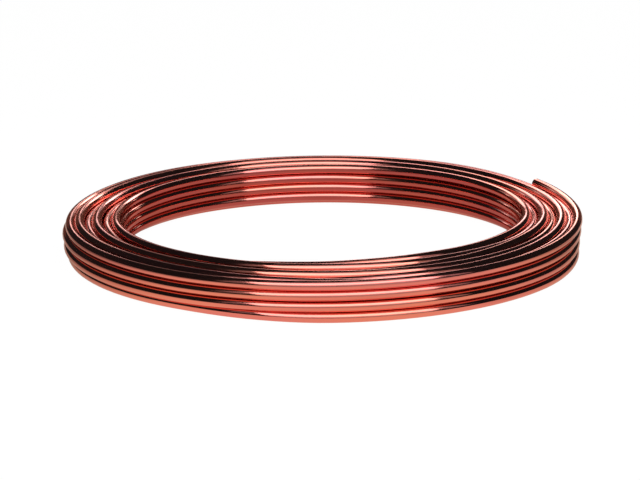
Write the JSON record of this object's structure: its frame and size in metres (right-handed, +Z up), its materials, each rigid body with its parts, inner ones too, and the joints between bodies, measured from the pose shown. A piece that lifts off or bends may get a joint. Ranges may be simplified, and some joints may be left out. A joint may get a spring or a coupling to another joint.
{
  "type": "copper tube coil",
  "caption": "Flat, level-wound coil of bright soft copper tube, its turns nested in columns round an open centre, with the last turn ending in a free cut end.",
  "frame": {"origin": "on the coil's axis, at the height of the surface that it lies on", "axes": "+Z up along the coil's axis, +X to the right and +Y away from the viewer of the picture; the free end is at about 30 degrees from +X towards +Y, pointing anticlockwise seen from above"},
  "size_m": [0.3161, 0.316, 0.0286],
  "materials": {
    "bright_copper": "bright drawn copper, mirror-like, with faint drawing lines and a light heat tint"
  },
  "bodies": {
    "root": {"copper_tube": "bright_copper"}
  },
  "joints": []
}
